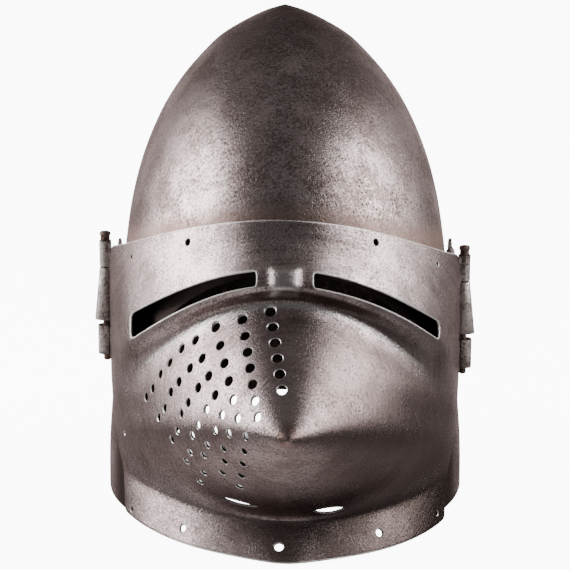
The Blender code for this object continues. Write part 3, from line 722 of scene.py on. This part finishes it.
# %% The sheet's formula
def visor_row(position):
    number = min(len(VISOR_ROWS) - 2, max(0, int(position)))
    share = position - number
    centre, side, depth, pinch, stand, rear = (
        mix(upper, lower, share) for upper, lower in zip(VISOR_ROWS[number], VISOR_ROWS[number + 1]))
    return (centre * VISOR_HEIGHT, side * VISOR_HEIGHT, depth * VISOR_DEPTH, pinch,
            stand * LIP_STAND, rear * REAR_EDGE_LOW)


def tip_position():
    top = VISOR_ROWS[CREASE][0] * VISOR_HEIGHT
    low = VISOR_ROWS[FLANGE_CREASE][0] * VISOR_HEIGHT
    return (top - SNOUT_TIP_HEIGHT) / (top - low)


def snout_share(share, position):
    """How far the sheet is drawn out: 1 at the snout's tip and 0 round its foot."""
    along = position - CREASE
    if along <= 0.0 or along >= 1.0:
        return 0.0
    tip = tip_position()
    tall = (along - tip) / tip if along < tip else (along - tip) / (1.0 - tip)
    wide = abs(share) / SNOUT_WIDTH_SHARE
    near = (wide ** SNOUT_TIP_POWER + abs(tall) ** SNOUT_TIP_POWER) ** (1.0 / SNOUT_TIP_POWER)
    far = (wide ** SNOUT_FOOT_POWER + abs(tall) ** SNOUT_FOOT_POWER) ** (1.0 / SNOUT_FOOT_POWER)
    upper = smooth_step(-0.1, 0.8, -tall)
    reach = mix(near, far, upper * smooth_step(0.2, 0.9, far))
    rise = SNOUT_SOFTNESS * math.log1p(math.exp((1.0 - reach) / SNOUT_SOFTNESS))
    return rise * (1.0 - abs(tall) ** 10) * max(0.0, 1.0 - abs(share) ** 8)


def boss_stand(share, position):
    """The rounded boss between the sights."""
    round_share = math.sqrt(max(0.0, 1.0 - (share / BOSS_SHARE) ** 2))
    rise = smooth_step(UPPER_LIP - 0.7, UPPER_LIP, position)
    fall = 1.0 - smooth_step(UPPER_LIP + 1.6, UPPER_LIP + 2.6, position)
    return BOSS_STAND * round_share * rise * fall


def sight_lift(share, position):
    """The lower lip of the left sight climbs at its outer end, so that sight narrows."""
    rise = smooth_step(LOWER_LIP - 1.0, LOWER_LIP, position)
    fall = 1.0 - smooth_step(LOWER_LIP + 1.0, CREASE + 0.2, position)
    return LEFT_SIGHT_LIFT * smooth_step(SIGHT_INNER_SHARE, SIGHT_OUTER_SHARE, share) * rise * fall


def visor_point(share, position):
    """A point of the outer skin: share across from -1 to 1, row position down the table."""
    centre, side, depth, pinch, stand, back = visor_row(position)
    sine = share * math.sqrt(max(0.0, 1.0 - (back / depth) ** (2.0 / pinch)))
    cosine = math.sqrt(max(0.0, 1.0 - sine * sine))
    snout = snout_share(share, position)
    forward = depth * cosine ** pinch + stand * (1.0 - smooth_step(0.86, 0.96, abs(share)))
    forward += boss_stand(share, position)
    if abs(position - CREASE) < 0.01:
        forward += CREASE_BEAD * (1.0 - smooth_step(0.45, 0.75, abs(share)))
    tip_depth = 0.5 * (VISOR_ROWS[CREASE][2] + VISOR_ROWS[FLANGE_CREASE][2]) * VISOR_DEPTH
    forward += (SNOUT_REACH - tip_depth) * snout
    across = VISOR_HALF_WIDTH * sine + SNOUT_TIP_SIDE * snout
    if position > FLANGE_CREASE:
        forward += FLANGE_KEEL * (position - FLANGE_CREASE) * math.exp(-(share / FLANGE_KEEL_SHARE) ** 2)
    height = mix(centre, side, share * share) - VISOR_LEAN * across + sight_lift(share, position)
    return Vector((across, -forward, height))


def visor_normal(share, position):
    step = 0.004
    across = visor_point(share + step, position) - visor_point(share - step, position)
    down = visor_point(share, position + step) - visor_point(share, position - step)
    normal = down.cross(across).normalized()
    return normal if normal.y < 0.0 else -normal


print("snout tip at", tuple(round(value, 4) for value in visor_point(0.0, CREASE + tip_position())))


# %% Bend the grid to the sheet
def steps_between(low, high, count):
    return [mix(low, high, step / count) for step in range(1, count + 1)]


def shape_visor():
    half = [0.0] + steps_between(0.0, SIGHT_INNER_SHARE, 7)
    half += steps_between(SIGHT_INNER_SHARE, SIGHT_OUTER_SHARE, 26)
    half += steps_between(SIGHT_OUTER_SHARE, 1.0, 8)
    shares = [-share for share in reversed(half[1:])] + half
    tip = CREASE + tip_position()
    rows = [0.0]
    for number, count in enumerate((4, 4, 3, 3, 2, 2, 2)):
        rows += steps_between(number, number + 1.0, count)
    rows += steps_between(CREASE, tip, 18) + steps_between(tip, FLANGE_CREASE, 22)
    rows += steps_between(8.0, 9.0, 6)
    columns, count = len(shares) - 1, len(rows) - 1
    builder = bmesh.new()
    bmesh.ops.create_grid(builder, x_segments=columns, y_segments=count, size=0.5)
    sights = []
    for face in builder.faces:
        middle = face.calc_center_median()
        left = (middle.x + 0.5) * columns
        share = mix(shares[int(left)], shares[int(left) + 1], 0.5)
        row = rows[int((0.5 - middle.y) * count)]
        between_lips = UPPER_LIP - 0.01 < row < LOWER_LIP - 0.01
        if between_lips and SIGHT_INNER_SHARE < abs(share) < SIGHT_OUTER_SHARE:
            sights.append(face)
    for vert in builder.verts:
        vert.co = visor_point(shares[round((vert.co.x + 0.5) * columns)],
                              rows[round((0.5 - vert.co.y) * count)])
    bmesh.ops.delete(builder, geom=sights, context="FACES")
    builder.normal_update()
    if sum(face.normal.y for face in builder.faces) > 0.0:
        bmesh.ops.reverse_faces(builder, faces=builder.faces)
    return builder


visor = new_piece("visor_sheet", shape_visor(), [visor_steel, worn_edge, inner_steel])
rounding = visor.modifiers.new("rounding", "SUBSURF")
rounding.levels = rounding.render_levels = 1
give_wall(visor, VISOR_WALL)
rub_edges(visor, VISOR_EDGE_BEVEL)
print("visor faces before its holes:", len(visor.data.polygons))

# %% [markdown]
# ## Breath holes, rivet holes and mouth slits
#
# Fifty-eight breath holes run in curved lines over the wearer's right cheek. Each line is
# stored as its first and last hole, in shares across and down the snout. A cutter is a rod
# with a cone on its outer end. The rod leaves dark walls in the hole, and the cone leaves a
# bright, rubbed lip. The snout turns away from the eye further down, and the lower holes of
# the real visor are smaller too, so the cutters get smaller and narrower on the way down.

# %% Places of the holes
BREATH_LINES = [
    # first across, first down, last across, last down, count
    (0.078, 0.030, 0.027, 0.279, 6),
    (0.225, 0.042, 0.157, 0.371, 7),
    (0.368, 0.040, 0.261, 0.382, 6),
    (0.479, 0.055, 0.310, 0.451, 6),
    (0.556, 0.061, 0.340, 0.540, 6),
    (0.626, 0.093, 0.428, 0.530, 5),
    (0.682, 0.124, 0.454, 0.600, 5),
    (0.731, 0.185, 0.463, 0.731, 5),
    (0.773, 0.225, 0.490, 0.815, 5),
    (0.220, 0.457, 0.261, 0.786, 5),
    (0.340, 0.621, 0.355, 0.701, 2),
]
ROUND_HOLES = [
    # across, row position, radius
    (-0.517, 0.67, 0.00210),
    (0.485, 0.51, 0.00210),
    (-0.849, 0.72, 0.00147),
    (0.844, 0.70, 0.00147),
    (-0.937, 7.52, 0.00126),
    (-0.950, 8.80, 0.00189),
    (-0.614, 8.62, 0.00216),
    (-0.036, 8.62, 0.00270),
    (0.567, 8.56, 0.00243),
    (0.940, 8.70, 0.00162),
]
MOUTH_SLITS = [
    # across and row position of both ends, half the opening
    (-0.400, 7.893, -0.150, 7.921, 0.0026),
    (0.160, 7.945, 0.352, 7.949, 0.0031),
]
LIP_CHAMFER = 0.0005
DRILL_DEPTH, DRILL_RISE, DRILL_SIDES = 0.006, 0.004, 20
SLIT_ROUNDNESS = 0.7
SLIT_STEPS = 16
INNER_BREATH_RADIUS = 0.0033
OUTER_BREATH_RADIUS = 0.0026
print("breath holes:", sum(line[4] for line in BREATH_LINES), "round holes:", len(ROUND_HOLES))


# %% Drill and slit the visor
def add_drill(builder, centre, axis, radius, narrow=1.0):
    """A rod that widens where it leaves the skin, so that the hole gets a chamfered lip."""
    wide = radius + 2.0 * LIP_CHAMFER
    rod = spun([(0.0, -DRILL_DEPTH), (radius, -DRILL_DEPTH), (radius, -LIP_CHAMFER),
                (wide, LIP_CHAMFER), (wide, DRILL_RISE), (0.0, DRILL_RISE)], DRILL_SIDES)
    for face in rod.faces:
        if face.calc_center_median().z < -LIP_CHAMFER - 0.00001:
            face.material_index = 1
    squeeze = Matrix.Diagonal((narrow, 1.0, 1.0, 1.0))
    bmesh.ops.transform(rod, matrix=Matrix.Translation(centre) @ squeeze @ turn_to(axis), verts=rod.verts)
    mesh = new_mesh("drill", rod)
    builder.from_mesh(mesh)
    bpy.data.meshes.remove(mesh)


def slit_prism(first_across, first_down, last_across, last_down, half_open):
    """A cutter along a line on the skin, widest in the middle and pointed at both ends."""
    start, end = visor_point(first_across, first_down), visor_point(last_across, last_down)
    normal = visor_normal(0.5 * (first_across + last_across), 0.5 * (first_down + last_down))
    upright = normal.cross(end - start).normalized()
    lower, upper = [], []
    for step in range(SLIT_STEPS):
        share = step / SLIT_STEPS
        opening = upright * half_open * math.sin(math.pi * share) ** SLIT_ROUNDNESS
        lower.append(start.lerp(end, share) - opening)
        upper.append(start.lerp(end, 1.0 - share) + opening)
    outline = [point - normal * DRILL_DEPTH for point in lower + upper]
    return extruded(outline, normal, 2.0 * DRILL_DEPTH)


drills = bmesh.new()
for across, position, radius in ROUND_HOLES:
    add_drill(drills, visor_point(across, position), visor_normal(across, position), radius)
for first_across, first_down, last_across, last_down, count in BREATH_LINES:
    for number in range(count):
        share = number / (count - 1)
        across = mix(first_across, last_across, share)
        down = mix(first_down, last_down, share)
        radius = mix(INNER_BREATH_RADIUS, OUTER_BREATH_RADIUS, across)
        radius *= mix(1.0, 0.80, smooth_step(0.25, 0.50, down))
        narrow = mix(1.0, 0.72, smooth_step(0.20, 0.40, down))
        narrow *= mix(1.0, 1.25, smooth_step(0.50, 0.70, down))
        add_drill(drills, visor_point(-across, CREASE + down), visor_normal(-across, CREASE + down),
                  radius, narrow)
visor_cutters = [combine(visor, "DIFFERENCE", cutter, worn_edge, inner_steel)
                 for cutter in [drills] + [slit_prism(*slit) for slit in MOUTH_SLITS]]
print("cutters on the visor:", len(visor_cutters))

# %% [markdown]
# ## The hinges
#
# On each side a pin runs through three rolled knuckles. The upper and lower ones belong to
# the visor, and the middle one to an arm that reaches back to a pivot at the temple. A
# knuckle is a strip rolled round the pin, so its outline is drawn from above and extruded.

# %% Sizes of the hinges
PIN_AXIS_BACK = 0.003
PIN_RADIUS = 0.0024
PIN_TAIL = 0.0045
KNUCKLE_WALL = 0.0013
KNUCKLE_TURN = 300.0
KNUCKLE_STEPS = 30
KNUCKLE_TAIL = 0.0105
HINGE_DROP = 0.0020
HINGE_SIDE_DROP = 0.0048
UPPER_KNUCKLE_LENGTH = 0.0169
MIDDLE_KNUCKLE_LENGTH = 0.0345
LOWER_KNUCKLE_LENGTH = 0.0191
UPPER_KNUCKLE_GAP = 0.0011
LOWER_KNUCKLE_GAP = 0.0042
MIDDLE_KNUCKLE_FLARE = 0.0018
LOWER_KNUCKLE_SLACK = 0.0009
ARM_DISC_RADIUS = 0.012
ARM_WALL = 0.0017
ARM_STAND = 0.0014
SEAT_STAND = 0.0013
ARM_EDGE_BEVEL = 0.00025
ARM_DISC_DEGREES = (120.0, 108.0, 96.0, 84.0, 72.0, 60.0, 48.0, 36.0, 24.0, 13.0)
PIN_POINT_RADIUS = 0.0018
PIN_POINT_LENGTH = 0.0008
PIN_NECK_RADIUS = 0.0031
PIN_NECK_LENGTH = 0.0032
PIN_HEAD = [
    # radius, height over the neck
    (0.0036, 0.0003), (0.0037, 0.0010), (0.0036, 0.0018), (0.0030, 0.0025),
    (0.0018, 0.0028), (0.0, 0.0028),
]
LATHE_SIDES = 32
RIVET_COLLAR_RADIUS = 0.0045
RIVET_FOOT = [
    # radius, height over the skull's inner skin
    (0.0, -0.0014), (0.0036, -0.0014), (RIVET_COLLAR_RADIUS, -0.0006), (RIVET_COLLAR_RADIUS, 0.0),
]
RIVET_HEAD = [
    # radius, height over the arm
    (0.0060, 0.0), (0.0059, 0.0006), (0.0052, 0.0013), (0.0038, 0.0019), (0.0020, 0.0022),
    (0.0, 0.0022),
]
PIN_OUT = abs(visor_point(-1.0, LOWER_LIP).x) + PIN_RADIUS + CLEARANCE
print("pin axis lies", round(PIN_OUT, 5), "out from the middle")


# %% Roll the knuckles
def knuckle_heights(side):
    """Bottom and top of the upper, middle and lower knuckle of one side."""
    top = VISOR_ROWS[0][1] * VISOR_HEIGHT - HINGE_DROP - side * HINGE_SIDE_DROP
    upper = (top - UPPER_KNUCKLE_LENGTH, top)
    top = upper[0] - UPPER_KNUCKLE_GAP
    middle = (top - MIDDLE_KNUCKLE_LENGTH, top)
    top = middle[0] - LOWER_KNUCKLE_GAP
    return upper, middle, (top - LOWER_KNUCKLE_LENGTH, top)


def rolled_strip(side, heights, low_bore, high_bore, tail_side):
    """A strip rolled round the pin; its two ends may have different bores."""
    builder = bmesh.new()
    rings = []
    for height, bore in ((heights[0], low_bore), (heights[1], high_bore)):
        centre = PIN_OUT + bore - PIN_RADIUS - CLEARANCE
        outer = bore + KNUCKLE_WALL
        turns = [math.radians(180.0 - KNUCKLE_TURN * step / KNUCKLE_STEPS)
                 for step in range(KNUCKLE_STEPS + 1)]
        around = [(math.cos(turn), -tail_side * math.sin(turn)) for turn in turns]
        points = [(-outer, tail_side * KNUCKLE_TAIL)]
        points += [(outer * out, outer * back) for out, back in around]
        points += [(bore * out, bore * back) for out, back in reversed(around)]
        points += [(-bore, tail_side * KNUCKLE_TAIL)]
        rings.append([Vector((side * (centre + out), PIN_AXIS_BACK + back, height))
                      for out, back in points])
    face = builder.faces.new([builder.verts.new(point) for point in rings[0]])
    for vert in extrude(builder, [face]):
        here = vert.co.xy
        vert.co = min(zip(*rings), key=lambda pair: (pair[0].xy - here).length)[1]
    bmesh.ops.recalc_face_normals(builder, faces=builder.faces)
    return builder


tight = PIN_RADIUS + CLEARANCE
slack = tight + LOWER_KNUCKLE_SLACK
visor_additions = []
for side, _ in SIDES:
    upper, _, lower = knuckle_heights(side)
    for heights, bore in ((upper, tight), (lower, slack)):
        knuckle = rolled_strip(side, heights, bore, bore, -1.0)
        visor_additions.append(combine(visor, "UNION", knuckle, hinge_steel))
finish_piece(visor, "visor", "visor", 34.0, visor_cutters + visor_additions)


# %% Cut and crank the arms
def skull_half_width(height):
    share = height / SKULL_HEIGHT
    for upper, lower in zip(SKULL_RINGS, SKULL_RINGS[1:]):
        if lower[0] <= share <= upper[0]:
            down = (upper[0] - share) / (upper[0] - lower[0])
            return mix(upper[1], lower[1], down) * SKULL_HALF_WIDTH
    return SKULL_HALF_WIDTH


ARM_PLANE = skull_half_width(PIVOT_HEIGHT - ARM_DISC_RADIUS) + ARM_STAND


def shape_arm(side, middle):
    """A flat plate with a round end at the pivot, cranked outwards to the knuckle."""
    knuckle_plane = PIN_OUT - tight - 0.5 * (KNUCKLE_WALL + ARM_WALL)
    front = PIN_AXIS_BACK + 0.002
    neck = PIVOT_BACK - 0.5 * ARM_DISC_RADIUS
    half = ARM_DISC_RADIUS * math.sin(math.radians(ARM_DISC_DEGREES[0]))
    spans = []
    for step in range(8):
        back = mix(front, neck, step / 8.0)
        share = smooth_step(front, neck, back)
        spans.append((back, mix(middle[0] + 0.002, PIVOT_HEIGHT - half, share),
                      mix(middle[1] - 0.0005, PIVOT_HEIGHT + half, share)))
    for degrees in ARM_DISC_DEGREES:
        turn = math.radians(degrees)
        spans.append((PIVOT_BACK + ARM_DISC_RADIUS * math.cos(turn),
                      PIVOT_HEIGHT - ARM_DISC_RADIUS * math.sin(turn),
                      PIVOT_HEIGHT + ARM_DISC_RADIUS * math.sin(turn)))
    builder = bmesh.new()
    bmesh.ops.create_grid(builder, x_segments=len(spans) - 1, y_segments=1, size=0.5)
    for vert in builder.verts:
        back, low, high = spans[round((vert.co.x + 0.5) * (len(spans) - 1))]
        plane = mix(knuckle_plane, ARM_PLANE, smooth_step(0.008, 0.014, back))
        vert.co = Vector((side * plane, back, high if vert.co.y > 0.0 else low))
    outer = extrude(builder, list(builder.faces))
    bmesh.ops.translate(builder, verts=outer, vec=(side * ARM_WALL, 0.0, 0.0))
    bmesh.ops.recalc_face_normals(builder, faces=builder.faces)
    return builder


for side, name in SIDES:
    middle = knuckle_heights(side)[1]
    arm = new_piece("arm_" + name, shape_arm(side, middle), [hinge_steel, worn_edge])
    knuckle = rolled_strip(side, middle, tight + MIDDLE_KNUCKLE_FLARE, tight, 1.0)
    hole = bmesh.new()
    add_rod(hole, (side * ARM_PLANE, PIVOT_BACK, PIVOT_HEIGHT), (1.0, 0.0, 0.0),
            PIVOT_RADIUS + CLEARANCE, 0.02, 32)
    helpers = [combine(arm, "UNION", knuckle, hinge_steel), combine(arm, "DIFFERENCE", hole, worn_edge)]
    rub_edges(arm, ARM_EDGE_BEVEL)
    finish_piece(arm, "visor", "pivot_arm_" + name, 35.0, helpers)


# %% Turn the pins and pivots
def turned(profile, axis, place):
    """A piece turned on a lathe and laid along its axis."""
    builder = spun(profile, LATHE_SIDES)
    bmesh.ops.transform(builder, matrix=Matrix.Translation(place) @ turn_to(axis), verts=builder.verts)
    return builder


def raised(profile, height):
    return [(radius, height + rise) for radius, rise in profile]


skin = skull_half_width(PIVOT_HEIGHT)
seat = skin + SEAT_STAND
under, head = ARM_PLANE - CLEARANCE, ARM_PLANE + ARM_WALL + CLEARANCE
rivet_profile = raised(RIVET_FOOT, skin - SKULL_WALL - SEAT_STAND)
rivet_profile += [(PIVOT_RADIUS, rivet_profile[-1][1]), (PIVOT_RADIUS, seat), (RIVET_COLLAR_RADIUS, seat),
                  (RIVET_COLLAR_RADIUS, under), (PIVOT_RADIUS, under), (PIVOT_RADIUS, head)]
rivet_profile += raised(RIVET_HEAD, head)
for side, name in SIDES:
    upper, _, lower = knuckle_heights(side)
    top, bottom = upper[1] + CLEARANCE, lower[0] - PIN_TAIL
    neck = top + PIN_NECK_LENGTH
    profile = [(0.0, bottom), (PIN_POINT_RADIUS, bottom), (PIN_RADIUS, bottom + PIN_POINT_LENGTH),
               (PIN_RADIUS, top), (PIN_NECK_RADIUS, top), (PIN_NECK_RADIUS, neck)]
    profile += raised(PIN_HEAD, neck)
    shape = turned(profile, (0.0, 0.0, 1.0), (side * PIN_OUT, PIN_AXIS_BACK, 0.0))
    pin = new_piece("pin_" + name, shape, [pin_steel])
    finish_piece(pin, "pin_" + name, "hinge_pin_" + name, 35.0)
    shape = turned(rivet_profile, (side, 0.0, 0.0), (0.0, PIVOT_BACK, PIVOT_HEIGHT))
    rivet = new_piece("rivet_" + name, shape, [hinge_steel])
    finish_piece(rivet, "helmet", "pivot_rivet_" + name, 35.0)

# %% [markdown]
# ## Floor, light and camera
#
# Polished steel shows what stands round it, so the light is part of the finish. Two soft
# boxes to the left and right make the bright areas on brow and skull. The world's light
# depends on its direction: bright straight behind the helmet, where it draws the light
# rims, weaker below and above, and dark in front, where the steel mirrors an unlit room.
# The camera itself sees a white backdrop. The floor glows, and it fades to a dark spot
# inside the helmet, so that the lowest holes look dark.

# %% Floor
FLOOR_GREY = (0.86, 0.86, 0.86)
SHADED_FLOOR = (0.36, 0.34, 0.33)
SHADE_CENTRE = (0.0, 0.10, 0.0)
SHADE_INNER, SHADE_OUTER, SHADE_POWER = 0.030, 0.100, 3.0
FLOOR_GLOW = 10.0

builder = bmesh.new()
bmesh.ops.create_grid(builder, x_segments=1, y_segments=1, size=3.0)
floor_paint = bpy.data.materials.new("pale_floor")
floor_paint.use_nodes = True
ground = floor_paint.node_tree
paint = ground.nodes["Principled BSDF"].inputs
paint["Roughness"].default_value = 0.9
paint["Specular IOR Level"].default_value = 0.1
paint["Emission Color"].default_value = (1.0, 1.0, 1.0, 1.0)
place = ground.nodes.new("ShaderNodeTexCoord").outputs["Object"]
from_shade = add_vector_math(ground, "DISTANCE", place, SHADE_CENTRE)
fade = add_range(ground, from_shade, SHADE_INNER, SHADE_OUTER)
open_floor = add_math(ground, "POWER", fade, SHADE_POWER)
ground.links.new(add_blend(ground, open_floor, SHADED_FLOOR, FLOOR_GREY), paint["Base Color"])
ground.links.new(product(ground, open_floor, FLOOR_GLOW), paint["Emission Strength"])
floor = new_object("floor", new_mesh("floor", builder, [floor_paint]))
floor.visible_glossy = False
print("floor made")


# %% Lights
BACKDROP = 8.0
BOX_AIM = Vector((0.0, 0.0, 0.15))


def add_soft_box(name, place, width, height, power):
    light = bpy.data.lights.new(name, "AREA")
    light.shape = "RECTANGLE"
    light.size = width
    light.size_y = height
    light.energy = power
    lamp = new_object(name, light)
    lamp.location = place
    lamp.visible_camera = False
    lamp.rotation_euler = (BOX_AIM - Vector(place)).to_track_quat("-Z", "Y").to_euler()


add_soft_box("left_box", (-1.17, 0.18, 0.52), 0.95, 0.90, 24.0)
add_soft_box("right_box", (1.20, 0.06, 0.64), 1.00, 0.90, 19.5)

world = bpy.data.worlds.new("studio")
bpy.context.scene.world = world
world.use_nodes = True
sky = world.node_tree
backdrop = sky.nodes["Background"]
backdrop.inputs["Color"].default_value = (1.0, 0.97, 0.96, 1.0)
x, y, z = add_parts(sky, sky.nodes.new("ShaderNodeTexCoord").outputs["Generated"])
level = add_math(sky, "ABSOLUTE", total(sky, z, 0.10), 0.0)
behind = product(sky, add_range(sky, y, 0.75, 1.0, 0.0, 0.80),
                 add_range(sky, level, 0.12, 0.40, 1.0, 0.0))
below = product(sky, add_range(sky, z, -0.90, 0.0, 0.82, 0.0), add_range(sky, x, -0.1, 0.8, 1.0, 0.15),
                add_range(sky, x, -0.8, -0.2, 0.60, 1.0))
above = add_range(sky, z, 0.40, 0.90, 0.085, 0.15)
to_camera = sky.nodes.new("ShaderNodeLightPath").outputs["Is Camera Ray"]
seen = add_math(sky, "MAXIMUM", product(sky, to_camera, BACKDROP), total(sky, behind, below, above))
sky.links.new(seen, backdrop.inputs["Strength"])
print("lights made")

# %% Camera
AIM = Vector((0.0, HELMET_SHIFT.y, 0.1388))
CAMERA_DISTANCE = 1.5
CAMERA_RISE = math.radians(14.0)
lens = bpy.data.cameras.new("camera")
lens.sensor_width = 36.0
lens.lens = 144.95
camera = new_object("camera", lens)
camera.location = AIM + CAMERA_DISTANCE * Vector((0.0, -math.cos(CAMERA_RISE), math.sin(CAMERA_RISE)))
camera.rotation_euler = (AIM - camera.location).to_track_quat("-Z", "Y").to_euler()
bpy.context.scene.camera = camera
print("camera at", tuple(round(value, 4) for value in camera.location))
